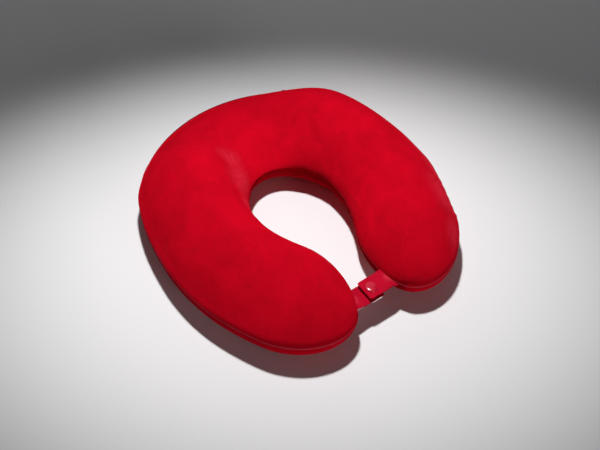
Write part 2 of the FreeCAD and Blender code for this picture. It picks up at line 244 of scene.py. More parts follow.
def section_profile(distance, scale, top, count):
    """Half a cross-section, from outer seam to inner seam.

    Returns the place across the tube, the height, and the distances to the two seams, for each point."""
    if top:
        height = BACK_HEIGHT + (ARM_HEIGHT - BACK_HEIGHT) * eased(distance, HEIGHT_CHANGE) - SEAM_Z
        across, up = oval_quarter(PROFILE_SAMPLES, TOP_FULLNESS)
        lean = -CREST_LEAN * height
    else:
        height = -(SEAM_Z + UNDERSIDE_SQUASH)
        across, up = oval_quarter(PROFILE_SAMPLES, BOTTOM_FULLNESS)
        lean = 0.0
    across = np.concatenate([across, -across[-2::-1]])
    up = np.concatenate([up, up[-2::-1]])
    r = scale * (half_width_at(distance) * across + lean * up)
    z = np.maximum(SEAM_Z + scale * height * up, 0)
    length = np.concatenate([[0], np.cumsum(np.hypot(np.diff(r), np.diff(z)))])
    if length[-1] == 0:
        return np.zeros(count), np.full(count, SEAM_Z), np.zeros(count), np.zeros(count)
    at = seam_spaced(count) * length[-1]
    return np.interp(at, length, r), np.interp(at, length, z), at, length[-1] - at


def arm_stations(spacing):
    """Distances along one arm, evenly spaced along the outer seam, with the section's scale at each."""
    dense = np.linspace(0, 1, 4000)
    cap_start = CENTRELINE - TIP_LENGTH
    cap = cap_start + TIP_LENGTH * np.sin(dense * math.pi / 2)
    distance = np.concatenate([cap_start * dense[:-1], cap])
    share = np.clip((distance - cap_start) / TIP_LENGTH, 0, 1)
    scale = (1 - share ** TIP_ROUNDNESS) ** (1 / TIP_ROUNDNESS)
    x, y, heading = centreline(distance)
    half_width = scale * half_width_at(distance)
    x, y = x + half_width * np.sin(heading), y + half_width * np.cos(heading)
    length = np.concatenate([[0], np.cumsum(np.hypot(np.diff(x), np.diff(y)))])
    at = np.linspace(0, length[-1], int(length[-1] / spacing) + 1)
    scale = np.interp(at, length, scale)
    scale[-1] = 0
    return np.interp(at, length, distance), scale


class Panel:
    """One half of the cover as a grid: rows are stations from the -X tip to the +X tip."""

    def __init__(self, top, count, spacing=STATION_SPACING):
        distance, scale = arm_stations(spacing)
        profiles = [section_profile(d, s, top, count) for d, s in zip(distance, scale)]
        across, height, from_outer, from_inner = [np.array(rows) for rows in zip(*profiles)]
        x, y, heading = centreline(distance)
        plan = np.stack([x[:, None] + across * np.sin(heading)[:, None],
                         y[:, None] + across * np.cos(heading)[:, None] + BACK_CENTRE_Y, height], -1)
        mirrored = plan[::-1] * np.array([-1, 1, 1])
        self.points = np.concatenate([mirrored[:-1], plan])
        self.from_outer = np.concatenate([from_outer[::-1][:-1], from_outer])
        self.from_inner = np.concatenate([from_inner[::-1][:-1], from_inner])
        self.top = top

    def normals(self):
        along = np.gradient(self.points, axis=0)
        around = np.gradient(self.points, axis=1)
        normal = np.cross(around, along)
        size = np.linalg.norm(normal, axis=2, keepdims=True)
        normal = normal / np.maximum(size, 1e-12)
        if not self.top:
            normal = -normal
        return normal


def seam_normals(line):
    """Unit normals in plan of a seam line, pointing out of the tube on the outer seam."""
    step = np.gradient(line[:, :2], axis=0)
    step /= np.maximum(np.linalg.norm(step, axis=1, keepdims=True), 1e-12)
    return np.stack([-step[:, 1], step[:, 0], np.zeros(len(step))], 1)


def rows_of_noise(count, seed, octaves):
    """A smooth random row: octaves is a list of (wavelength in samples, amplitude)."""
    random = np.random.default_rng(seed)
    row = np.zeros(count)
    for wavelength, amplitude in octaves:
        knots = max(int(count / wavelength) + 2, 4)
        at = np.linspace(0, knots - 1, count)
        row += amplitude * np.interp(at, np.arange(knots), random.normal(size=knots))
    kernel = np.hanning(5)
    return np.convolve(row, kernel / kernel.sum(), mode="same")


def back_angle(points):
    """Angle about the back arc's centre, 0 at the middle of the back, for points in plan."""
    return np.arctan2(points[..., 0], points[..., 1] - BACK_CENTRE_Y)


def seam_relief(panel):
    """Moves the panel's fabric in to its seams, with rolled edges, puckers and the zipper's trench."""
    rows = len(panel.points)
    outer, inner = seam_normals(panel.points[:, 0]), -seam_normals(panel.points[:, -1])
    near_outer = np.exp(-panel.from_outer / SEAM_REACH)[..., None]
    near_inner = np.exp(-panel.from_inner / SEAM_REACH)[..., None]
    push = near_outer * outer[:, None] + near_inner * inner[:, None]
    push /= np.maximum(np.linalg.norm(push, axis=2, keepdims=True), 1e-9)
    gap = np.minimum(panel.from_outer, panel.from_inner)

    stitch_pull = rows_of_noise(rows, 11, [(4, 0.6), (9, 0.5), (30, 0.4)])[:, None]
    own_pucker = rows_of_noise(rows, 12 if panel.top else 13, [(3, 0.5), (7, 0.6), (18, 0.5)])[:, None]
    move = -SEAM_DEPTH * (1 + STITCH_PULL * stitch_pull) * np.exp(-(gap / SEAM_WIDTH) ** 2)
    move += SEAM_RIDGE * np.exp(-((gap - SEAM_RIDGE_AT) / MM) ** 2)
    move += PUCKER * own_pucker * np.exp(-gap / (8 * MM)) * smooth(gap / (2 * MM))

    angle = np.abs(back_angle(panel.points[:, 0]))
    zipped = smooth((ZIP_HALF_ANGLE + ZIP_END_EASE - angle) / ZIP_END_EASE)
    at_zip = zipped[:, None] * (panel.from_outer < panel.from_inner)
    edge_roll = (gap - ZIP_TRENCH_HALF_HEIGHT - 1.4 * MM) / (1.1 * MM)
    trench = -ZIP_TRENCH_DEPTH * smooth((ZIP_TRENCH_HALF_HEIGHT + 0.5 * MM - gap) / MM)
    trench += ZIP_EDGE_ROLL * np.exp(-edge_roll ** 2)
    trench -= STITCH_SINK * np.exp(-((gap - STITCH_LINE) / (0.8 * MM)) ** 2)
    trench += ZIP_EDGE_PUCKER * own_pucker * np.exp(-gap / (14 * MM)) * smooth((gap - 4 * MM) / (3 * MM))
    move = move * (1 - at_zip) + trench * at_zip
    panel.points = panel.points + push * move[..., None]


def swell(panel, place, radius, height):
    """A soft lump in the cover."""
    away = np.linalg.norm(panel.points - np.array(place) * MM, axis=2) / (radius * MM)
    panel.points = panel.points + panel.normals() * (height * MM * np.exp(-away ** 2))[..., None]


def creases(panel, place, radius, direction, spacing, height, seed):
    """A patch of short creases. They follow one another along a direction, and waver."""
    offset = panel.points - np.array(place) * MM
    away = np.linalg.norm(offset, axis=2) / (radius * MM)
    along = offset @ (np.array(direction) / np.linalg.norm(direction)) / (spacing * MM)
    waver = rows_of_noise(panel.points.shape[0], seed, [(9, 0.5), (25, 0.8)])[:, None]
    waver = waver + rows_of_noise(panel.points.shape[1], seed + 1, [(7, 0.4), (18, 0.6)])[None, :]
    wave = np.cos(2 * math.pi * (along + 0.35 * waver)) * (0.6 + 0.4 * np.cos(3.1 * along + waver))
    rise = height * MM * wave * np.exp(-away ** 2)
    panel.points = panel.points + panel.normals() * rise[..., None]


def grid_object(name, points, flip):
    """A mesh object from a grid of points, with coincident points at the tips merged."""
    rows, columns = points.shape[:2]
    index = np.arange(rows * columns).reshape(rows, columns)
    a, b, c, d = index[:-1, :-1], index[1:, :-1], index[1:, 1:], index[:-1, 1:]
    quads = np.stack([a, b, c, d] if flip else [a, d, c, b], -1).reshape(-1, 4)
    mesh = bpy.data.meshes.new(name)
    mesh.from_pydata(points.reshape(-1, 3).tolist(), [], quads.tolist())
    shape = bmesh.new()
    shape.from_mesh(mesh)
    bmesh.ops.remove_doubles(shape, verts=shape.verts, dist=1e-6)
    bmesh.ops.dissolve_degenerate(shape, edges=shape.edges, dist=1e-7)
    for face in shape.faces:
        face.smooth = True
    shape.to_mesh(mesh)
    shape.free()
    piece = bpy.data.objects.new(name, mesh)
    bpy.context.scene.collection.objects.link(piece)
    return piece


def apply_modifiers(piece):
    """Replaces a piece's mesh with the one that its modifiers make."""
    bpy.context.view_layer.update()
    evaluated = piece.evaluated_get(bpy.context.evaluated_depsgraph_get())
    mesh = bpy.data.meshes.new_from_object(evaluated)
    piece.modifiers.clear()
    piece.data = mesh


def mark_seam(piece, panel):
    """Stores where light is painted on the velour: a painted highlight on the top panel's rolled edge,
    painted light by the outer seam.
    """
    for name in ("rim", "painted_wall_light"):
        piece.data.attributes.new(name, "FLOAT", "POINT")
    rim, painted_wall_light = piece.data.attributes["rim"].data, piece.data.attributes["painted_wall_light"].data
    gap = np.minimum(panel.from_outer, panel.from_inner)
    outer = panel.from_outer.reshape(-1)
    grid = KDTree(gap.size)
    for index, point in enumerate(panel.points.reshape(-1, 3)):
        grid.insert(point, index)
    grid.balance()
    gap = gap.reshape(-1)
    for vertex in piece.data.vertices:
        nearest = grid.find(vertex.co)[1]
        # Painted highlight: a pale line along the top panel's rolled edge at the seam, faded out behind the
        # hole.
        if panel.top:
            in_front = float(smooth((RIM_BACK_END - vertex.co.y) / RIM_BACK_FADE))
            rim_highlight_share = 1 if outer[nearest] < HOLE_SIDE else in_front
            rim[vertex.index].value = rim_highlight_share * math.exp(-((gap[nearest] - SEAM_RIDGE_AT) / RIM_WIDTH) ** 2)
        # Painted light: the wall beside the outer seam is lightened where the steep fabric is in shade.
        painted_wall_light[vertex.index].value = math.exp(-(outer[nearest] / WALL_LIGHT_WIDTH) ** 2)


def thicken(piece, thickness):
    """Gives a sheet its thickness, inwards from the outside."""
    solid = piece.modifiers.new("thickness", "SOLIDIFY")
    solid.thickness = thickness
    solid.offset = -1
    apply_modifiers(piece)


# ---------------------------------------------------------------- cloth simulation of the cover

def cloth_relief():
    """Inflates the sewn cover as cloth pinned at its seams. Returns how far each panel's points move."""
    top = Panel(True, SIM_TOP_POINTS, SIM_SPACING).points
    bottom = Panel(False, SIM_BOTTOM_POINTS, SIM_SPACING).points
    ring = np.concatenate([top[1:-1], bottom[1:-1, -2:0:-1]], axis=1)
    rows, across = ring.shape[:2]
    points = np.concatenate([ring.reshape(-1, 3), top[:1, 0], top[-1:, 0]])
    index = np.arange(rows * across).reshape(rows, across)
    beside = np.roll(index, -1, axis=1)
    faces = np.stack([index[:-1], index[1:], beside[1:], beside[:-1]], -1).reshape(-1, 4).tolist()
    start, end = rows * across, rows * across + 1
    faces += [[start, int(a), int(b)] for a, b in zip(index[0], beside[0])]
    faces += [[end, int(b), int(a)] for a, b in zip(index[-1], beside[-1])]
    mesh = bpy.data.meshes.new("cover_cloth")
    mesh.from_pydata(points.tolist(), [], faces)
    cloth_piece = bpy.data.objects.new("cover_cloth", mesh)
    bpy.context.scene.collection.objects.link(cloth_piece)
    sewn = [int(v) for column in (0, SIM_TOP_POINTS - 1) for v in index[:, column]] + [start, end]
    resting = [int(v) for v in np.flatnonzero(points[:, 2] < 0.5 * MM)]
    pins = cloth_piece.vertex_groups.new(name="seams")
    pins.add(sorted(set(sewn + resting)), 1.0, "REPLACE")

    cloth = cloth_piece.modifiers.new("cloth", "CLOTH")
    settings = cloth.settings
    settings.quality = 6
    settings.mass = 0.15
    settings.tension_stiffness = settings.compression_stiffness = settings.shear_stiffness = SIM_STIFFNESS
    settings.bending_stiffness = SIM_BENDING
    settings.shrink_min = -0.012
    settings.use_pressure = True
    settings.uniform_pressure_force = SIM_PRESSURE
    settings.vertex_group_mass = "seams"
    settings.effector_weights.gravity = 0
    cloth.point_cache.frame_end = SIM_FRAMES
    scene = bpy.context.scene
    for step in range(1, SIM_FRAMES + 1):
        scene.frame_set(step)
    evaluated = cloth_piece.evaluated_get(bpy.context.evaluated_depsgraph_get()).to_mesh()
    moved = np.empty(len(points) * 3)
    evaluated.vertices.foreach_get("co", moved)
    moved = moved.reshape(-1, 3) - points
    scene.frame_set(1)
    bpy.data.objects.remove(cloth_piece)
    still = np.zeros((1, across, 3))
    moved = np.concatenate([still, moved[:rows * across].reshape(rows, across, 3), still])
    top_moved = moved[:, :SIM_TOP_POINTS]
    bottom_moved = np.concatenate([moved[:, :1], moved[:, :SIM_TOP_POINTS - 2:-1]], axis=1)
    return top_moved, bottom_moved


def resampled(grid, rows, columns):
    """A grid of vectors on more rows and columns, smoothed so that the coarse cells don't show."""
    for axis, count in ((0, rows), (1, columns)):
        grid = np.moveaxis(grid, axis, 0)
        at = np.linspace(0, len(grid) - 1, count)
        low = np.minimum(at.astype(int), len(grid) - 2)
        share = (at - low)[:, None, None]
        grid = grid[low] * (1 - share) + grid[low + 1] * share
        for _ in range(SMOOTHING_PASSES):
            grid[1:-1] = (grid[:-2] + 2 * grid[1:-1] + grid[2:]) / 4
        grid = np.moveaxis(grid, 0, axis)
    return grid


def puff(panel, moved):
    """Adds the simulated cloth's relief to a panel, capped, and fading out at its seams."""
    moved = resampled(moved, *panel.points.shape[:2])
    normal = panel.normals()
    out = np.sum(moved * normal, axis=2)
    cap = np.where(out > 0, SIM_SWELL_CAP, SIM_DENT_CAP)
    out = cap * np.tanh(out / cap)
    gap = np.minimum(panel.from_outer, panel.from_inner)
    panel.points = panel.points + normal * (out * smooth(gap / PUFF_FADE))[..., None]
    panel.points[..., 2] = np.maximum(panel.points[..., 2], 0)


# ---------------------------------------------------------------- materials

PILE_LEAN = 0.75
# Painted light on the walls by the outer seam: how much lighter its red is, and how much of it is laid on.
WALL_LIGHT_LIFT = 1.65
WALL_LIGHT_SHARE = 0.9
# Colour of the painted highlight on the top panel's rolled edge at the seam.
RIM_HIGHLIGHT_COLOUR = (0.85, 0.12, 0.18)
WAVE_PERIOD = 2 * math.pi / 20


def new_material(name):
    material = bpy.data.materials.new(name)
    material.use_nodes = True
    nodes, links = material.node_tree.nodes, material.node_tree.links
    shader = nodes["Principled BSDF"]
    place = nodes.new("ShaderNodeTexCoord").outputs["Object"]
    return material, nodes, links, shader, place


def noise_node(nodes, links, place, scale, detail=3.0, roughness=0.55, distortion=0.0):
    noise = nodes.new("ShaderNodeTexNoise")
    noise.inputs["Scale"].default_value = scale
    noise.inputs["Detail"].default_value = detail
    noise.inputs["Roughness"].default_value = roughness
    noise.inputs["Distortion"].default_value = distortion
    links.new(place, noise.inputs["Vector"])
    return noise.outputs["Fac"]


def ramp_node(nodes, links, value, stops):
    ramp = nodes.new("ShaderNodeValToRGB")
    elements = ramp.color_ramp.elements
    while len(elements) < len(stops):
        elements.new(0.5)
    for element, (position, colour) in zip(elements, stops):
        element.position = position
        element.color = (*colour, 1)
    links.new(value, ramp.inputs["Fac"])
    return ramp.outputs["Color"]


def bump_node(nodes, links, shader, height, strength, distance, below=None):
    bump = nodes.new("ShaderNodeBump")
    bump.inputs["Strength"].default_value = strength
    bump.inputs["Distance"].default_value = distance
    links.new(height, bump.inputs["Height"])
    if below is not None:
        links.new(below, bump.inputs["Normal"])
    links.new(bump.outputs["Normal"], shader.inputs["Normal"])
    return bump.outputs["Normal"]


def math_node(nodes, links, operation, first, second):
    node = nodes.new("ShaderNodeMath")
    node.operation = operation
    node.use_clamp = True
    for socket, value in zip(node.inputs, (first, second)):
        if isinstance(value, (int, float)):
            socket.default_value = value
        else:
            links.new(value, socket)
    return node.outputs[0]


def stretched(nodes, links, place, turn, stretch):
    """Coordinates turned about Z and stretched, for marks that run in one direction."""
    mapping = nodes.new("ShaderNodeMapping")
    mapping.inputs["Rotation"].default_value = (0, 0, math.radians(turn))
    mapping.inputs["Scale"].default_value = stretch
    links.new(place, mapping.inputs["Vector"])
    return mapping.outputs["Vector"]


def patch_mask(nodes, links, place, centre, radius):
    """1 at a place given in millimetres, falling smoothly to 0 at a radius."""
    distance = nodes.new("ShaderNodeVectorMath")
    distance.operation = "DISTANCE"
    distance.inputs[1].default_value = [c * MM for c in centre]
    links.new(place, distance.inputs[0])
    fall = nodes.new("ShaderNodeMapRange")
    fall.interpolation_type = "SMOOTHSTEP"
    fall.inputs["From Min"].default_value = radius * MM
    fall.inputs["From Max"].default_value = 0.15 * radius * MM
    links.new(distance.outputs["Value"], fall.inputs["Value"])
    return fall.outputs["Result"]


def pile_lean(nodes, links):
    """Normals of standing pile: its tips catch light from above even where the fabric is steep."""
    surface = nodes.new("ShaderNodeNewGeometry").outputs["Normal"]
    raised = nodes.new("ShaderNodeVectorMath")
    raised.operation = "ADD"
    raised.inputs[1].default_value = (0, 0, PILE_LEAN)
    links.new(surface, raised.inputs[0])
    unit = nodes.new("ShaderNodeVectorMath")
    unit.operation = "NORMALIZE"
    links.new(raised.outputs[0], unit.inputs[0])
    return unit.outputs[0]


def share_added(nodes, links, socket, share, added):
    """A share of one socket, plus a number or another socket."""
    node = nodes.new("ShaderNodeMath")
    node.operation = "MULTIPLY_ADD"
    links.new(socket, node.inputs[0])
    node.inputs[1].default_value = share
    if isinstance(added, float):
        node.inputs[2].default_value = added
    else:
        links.new(added, node.inputs[2])
    return node.outputs[0]


def mixed(nodes, links, factor, under, over):
    """The colour from a socket, with a plain colour over it."""
    mix = nodes.new("ShaderNodeMix")
    mix.data_type = "RGBA"
    links.new(factor, mix.inputs["Factor"])
    links.new(under, mix.inputs[6])
    mix.inputs[7].default_value = (*over, 1)
    return mix.outputs[2]


def marked(nodes, name):
    """A value stored on the mesh's points, which is 0 where the mesh has none."""
    node = nodes.new("ShaderNodeAttribute")
    node.attribute_name = name
    return node.outputs["Fac"]


def velour(name, deep, red, brushed, patches):
    """Short velour pile: mottled where it was stroked, with paler brushed streaks in a few patches, painted
    light on the walls by the outer seam and a painted highlight on the seam's rolled edge.
    """
    material, nodes, links, shader, place = new_material(name)
    mottle = noise_node(nodes, links, place, scale=30, detail=5, roughness=0.6, distortion=0.5)
    stroked = stretched(nodes, links, place, turn=35, stretch=(420, 90, 260))
    strokes = noise_node(nodes, links, stroked, scale=1, detail=4, roughness=0.65, distortion=0.6)
    pile = noise_node(nodes, links, place, scale=1900, detail=2, roughness=0.6)
    tone = share_added(nodes, links, strokes, share=0.25, added=0.08)
    tone = share_added(nodes, links, mottle, share=0.55, added=tone)
    tone = share_added(nodes, links, pile, share=0.12, added=tone)
    base = ramp_node(nodes, links, tone, [(0.40, deep), (0.62, red)])
    # Painted light: the walls by the outer seam are lightened towards a paler red.
    wall_light_share = math_node(nodes, links, "MULTIPLY", marked(nodes, "painted_wall_light"), WALL_LIGHT_SHARE)
    base = mixed(nodes, links, wall_light_share, base, tuple(WALL_LIGHT_LIFT * c for c in red))
    mask = None
    for centre, radius in patches:
        spot = patch_mask(nodes, links, place, centre, radius)
        mask = spot if mask is None else math_node(nodes, links, "MAXIMUM", mask, spot)
    streaked = stretched(nodes, links, place, turn=62, stretch=(900, 150, 400))
    streaks = noise_node(nodes, links, streaked, scale=1, detail=5, roughness=0.75, distortion=0.8)
    raised = ramp_node(nodes, links, streaks, [(0.40, (0, 0, 0)), (0.62, (1, 1, 1))])
    amount = math_node(nodes, links, "MULTIPLY", mask, raised)
    base = mixed(nodes, links, amount, base, brushed)
    # Painted highlight: the rim mark lightens the top panel's rolled edge towards a pale pink.
    rim_highlight_share = math_node(nodes, links, "MULTIPLY", marked(nodes, "rim"), strokes)
    links.new(mixed(nodes, links, rim_highlight_share, base, RIM_HIGHLIGHT_COLOUR), shader.inputs["Base Color"])
    shader.inputs["Roughness"].default_value = 0.9
    shader.inputs["Specular IOR Level"].default_value = 0.02
    shader.inputs["Sheen Weight"].default_value = 0.32
    shader.inputs["Sheen Roughness"].default_value = 0.34
    shader.inputs["Sheen Tint"].default_value = (1.0, 0.02, 0.1, 1)
    raised_normal = pile_lean(nodes, links)
    lie = bump_node(nodes, links, shader, strokes, strength=0.25, distance=0.6 * MM, below=raised_normal)
    bump_node(nodes, links, shader, pile, strength=0.3, distance=0.3 * MM, below=lie)
    return material


def woven(name, colour, ribs_per_metre):
    """Ribbed woven tape. WAVE_PERIOD is the distance between a wave texture's bands at scale 1."""
    material, nodes, links, shader, place = new_material(name)
    wave = nodes.new("ShaderNodeTexWave")
    wave.bands_direction = "Z"
    wave.inputs["Scale"].default_value = ribs_per_metre * WAVE_PERIOD
    wave.inputs["Distortion"].default_value = 0.6
    wave.inputs["Detail Scale"].default_value = 3
    links.new(place, wave.inputs["Vector"])
    darker = tuple(0.7 * c for c in colour)
    ribs = ramp_node(nodes, links, wave.outputs["Fac"], [(0.2, darker), (0.8, colour)])
    links.new(ribs, shader.inputs["Base Color"])
    shader.inputs["Roughness"].default_value = 0.85
    shader.inputs["Specular IOR Level"].default_value = 0.2
    yarn = noise_node(nodes, links, place, scale=2500, detail=2)
    lie = bump_node(nodes, links, shader, wave.outputs["Fac"], strength=0.5, distance=0.3 * MM)
    bump_node(nodes, links, shader, yarn, strength=0.3, distance=0.2 * MM, below=lie)
    return material


def plain(name, colour, roughness, specular=0.5, coat=0.0):
    """A plain colour with faint unevenness and grain, for moulded, cast and foamed parts."""
    material, nodes, links, shader, place = new_material(name)
    tone = noise_node(nodes, links, place, scale=220, detail=3)
    darker = tuple(0.86 * c for c in colour)
    links.new(ramp_node(nodes, links, tone, [(0.35, darker), (0.65, colour)]), shader.inputs["Base Color"])
    shader.inputs["Roughness"].default_value = roughness
    shader.inputs["Specular IOR Level"].default_value = specular
    shader.inputs["Coat Weight"].default_value = coat
    grain = noise_node(nodes, links, place, scale=3000, detail=2)
    bump_node(nodes, links, shader, grain, strength=0.08, distance=0.1 * MM)
    return material


def paint(piece, material):
    piece.data.materials.clear()
    piece.data.materials.append(material)


# ---------------------------------------------------------------- pieces

# Where the pile was brushed the other way: a place in millimetres and a radius.
BRUSHED = [((-39, 33, 55), 27), ((-33, 55, 62), 22), ((-41, 2, 55), 18), ((106, -92, 58), 34),
           ((120, -62, 52), 26), ((92, -128, 48), 22), ((-33, -90, 66), 14)]
STRAP_BRUSHED = [((20, -125, 32), 8), ((-20, -125, 28), 8)]
VELOUR = velour("cover_velour", deep=(0.385, 0.0008, 0.0075), red=(0.51, 0.0009, 0.0105),
                brushed=(0.58, 0.02, 0.046), patches=BRUSHED)
STRAP_VELOUR = velour("strap_velour", deep=(0.33, 0.002, 0.014), red=(0.45, 0.004, 0.022),
                      brushed=(0.66, 0.05, 0.09), patches=STRAP_BRUSHED)
ZIP_TAPE = woven("zip_tape", (0.40, 0.003, 0.012), ribs_per_metre=1400)
ZIP_COIL = plain("zip_coil", (0.45, 0.004, 0.014), roughness=0.35)
ZIP_METAL = plain("zip_metal", (0.42, 0.004, 0.014), roughness=0.25, specular=0.6, coat=0.5)
THREAD = plain("cover_thread", (0.5, 0.004, 0.014), roughness=0.55, specular=0.3)
SNAP = plain("snap_plastic", (0.5, 0.006, 0.03), roughness=0.2, specular=0.5, coat=0.3)
LABEL = woven("label_satin", (0.84, 0.84, 0.82), ribs_per_metre=5000)
FOAM = plain("foam", (0.9, 0.86, 0.72), roughness=0.95, specular=0.1)
KNIT = woven("liner_knit", (0.86, 0.86, 0.84), ribs_per_metre=900)
INTERLINING = woven("interlining", (0.8, 0.78, 0.74), ribs_per_metre=1500)

NODE_FINISHES = {
    "foam_core": FOAM, "inner_liner": KNIT, "strap_right_interlining": INTERLINING,
    "strap_left_interlining": INTERLINING, "zipper_tape_upper": ZIP_TAPE, "zipper_tape_lower": ZIP_TAPE,
    "zipper_coil_upper": ZIP_COIL, "zipper_coil_lower": ZIP_COIL, "zipper_top_stops": ZIP_METAL,
    "zipper_bottom_stop": ZIP_METAL, "zipper_slider": ZIP_METAL, "zipper_pull": ZIP_METAL,
    "snap_cap": SNAP, "snap_socket": SNAP, "snap_stud": SNAP, "snap_stud_cap": SNAP, "care_label": LABEL,
    "strap_right_tab": STRAP_VELOUR, "strap_right_sleeve": STRAP_VELOUR, "strap_left_tab": STRAP_VELOUR,
    "strap_left_sleeve": STRAP_VELOUR,
}


def cover_panel(name, node, top, count, cloth_moved):
    """One velour panel of the cover. Returns the panel, for the stitching along it."""
    panel = Panel(top, count)
    if cloth_moved is not None:
        puff(panel, cloth_moved)
    for lump in TOP_LUMPS if top else BOTTOM_LUMPS:
        swell(panel, *lump)
    for patch in TOP_CREASES if top else BOTTOM_CREASES:
        creases(panel, *patch)
    seam_relief(panel)
    panel.points[..., 2] = np.maximum(panel.points[..., 2], 0)
    piece = grid_object(name, panel.points, flip=not top)
    mark_seam(piece, panel)
    thicken(piece, COVER_THICKNESS)
    paint(piece, VELOUR)
    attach(piece, "pillow")
    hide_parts(node)
    return panel


def loose_object(name, points, faces, material, body):
    mesh = bpy.data.meshes.new(name)
    mesh.from_pydata([tuple(point) for point in points], [], faces)
    mesh.polygons.foreach_set("use_smooth", [True] * len(mesh.polygons))
    piece = bpy.data.objects.new(name, mesh)
    bpy.context.scene.collection.objects.link(piece)
    paint(piece, material)
    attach(piece, body)
    return piece


def tube_mesh(path, radius, sides, taper=None):
    """Points and faces of a capped tube along a path, with its radius scaled by taper at each point."""
    path = np.asarray(path, float)
    taper = np.ones(len(path)) if taper is None else taper
    tangent = np.gradient(path, axis=0)
    tangent /= np.linalg.norm(tangent, axis=1, keepdims=True)
    aside = np.cross(tangent, np.array([0.12, 0.2, 0.97]))
    aside /= np.linalg.norm(aside, axis=1, keepdims=True)
    over = np.cross(tangent, aside)
    turn = np.arange(sides) * 2 * math.pi / sides
    spoke = aside[:, None] * np.cos(turn)[:, None] + over[:, None] * np.sin(turn)[:, None]
    points = path[:, None] + spoke * (radius * taper)[:, None, None]
    faces = []
    for i in range(len(path) - 1):
        for j in range(sides):
            k = (j + 1) % sides
            faces.append([i * sides + j, i * sides + k, (i + 1) * sides + k, (i + 1) * sides + j])
    faces.append(list(range(sides))[::-1])
    faces.append([(len(path) - 1) * sides + j for j in range(sides)])
    return points.reshape(-1, 3), faces


def zipper_coil(name, node, side):
    """A nylon coil as a real helix, bent round the back seam."""
    turns = int(2 * COIL_END_ANGLE * SEAM_RADIUS / COIL_PITCH)
    steps_per_turn = 9
    phase = np.linspace(0, 1, turns * steps_per_turn + 1)
    angle = COIL_END_ANGLE * (2 * phase - 1)
    loop = 2 * math.pi * turns * phase
    inside = SEAM_RADIUS - TAPE_TOP_DEPTH
    radius = inside + COIL_THICKNESS / 2 + (COIL_THICKNESS / 2 - COIL_WIRE_RADIUS) * np.sin(loop)
    height = CHAIN_GAP / 2 + COIL_HEIGHT / 2 - (COIL_HEIGHT / 2 - COIL_WIRE_RADIUS) * np.cos(loop)
    x, y = radius * np.sin(angle), BACK_CENTRE_Y + radius * np.cos(angle)
    path = np.stack([x, y, SEAM_Z + side * height], 1)
    points, faces = tube_mesh(path, COIL_WIRE_RADIUS, 6)
    piece = loose_object(name, points, faces, ZIP_COIL, "pillow")
    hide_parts(node)


def stitched_line(name, panel):
    """Topstitching that holds the folded edge of one panel along the zipper."""
    line = []
    for row in range(len(panel.points)):
        if abs(back_angle(panel.points[row, 0])) > ZIP_HALF_ANGLE or panel.from_outer[row, -1] == 0:
            continue
        along = panel.from_outer[row]
        line.append([np.interp(STITCH_LINE, along, panel.points[row, :, axis]) for axis in range(3)])
    line = np.array(line)
    outward = line - np.array([0, BACK_CENTRE_Y, 0])
    outward[:, 2] = 0
    outward /= np.linalg.norm(outward, axis=1, keepdims=True)
    length = np.concatenate([[0], np.cumsum(np.linalg.norm(np.diff(line, axis=0), axis=1))])
    points, faces = [], []
    start = 0.0
    while start + STITCH_LENGTH < length[-1]:
        at = start + STITCH_LENGTH * np.array([0, 0.12, 0.5, 0.88, 1])
        path = np.stack([np.interp(at, length, line[:, axis]) for axis in range(3)], 1)
        normal = np.stack([np.interp(at, length, outward[:, axis]) for axis in range(3)], 1)
        path += normal * (STITCH_RADIUS * np.array([-1.5, 0.1, 0.5, 0.1, -1.5]))[:, None]
        more, quads = tube_mesh(path, STITCH_RADIUS, 6, np.array([0.4, 0.9, 1, 0.9, 0.4]))
        first = sum(len(stitch) for stitch in points)
        faces += [[first + corner for corner in quad] for quad in quads]
        points.append(more)
        start += STITCH_LENGTH + STITCH_GAP
    loose_object(name, np.concatenate(points), faces, THREAD, "pillow")


def strap_path(strap_z):
    """Middle line of a strap, from inside the arm's seam to its free end: X on its own side, and height."""
    x = np.concatenate([np.linspace(STRAP_ROOT_X, STRAP_HINGE_X - 4 * MM, 14),
                        np.linspace(STRAP_HINGE_X - 5 * MM, STRAP_FREE_X + STRAP_NOSE, 12),
                        STRAP_FREE_X + STRAP_NOSE * (1 - np.sin(np.linspace(0.15, 1, 9) * math.pi / 2))])
    rise = smooth((STRAP_SLOPE_X - x) / (STRAP_SLOPE_X - STRAP_HINGE_X))
    return x, SEAM_Z + (strap_z - SEAM_Z) * rise


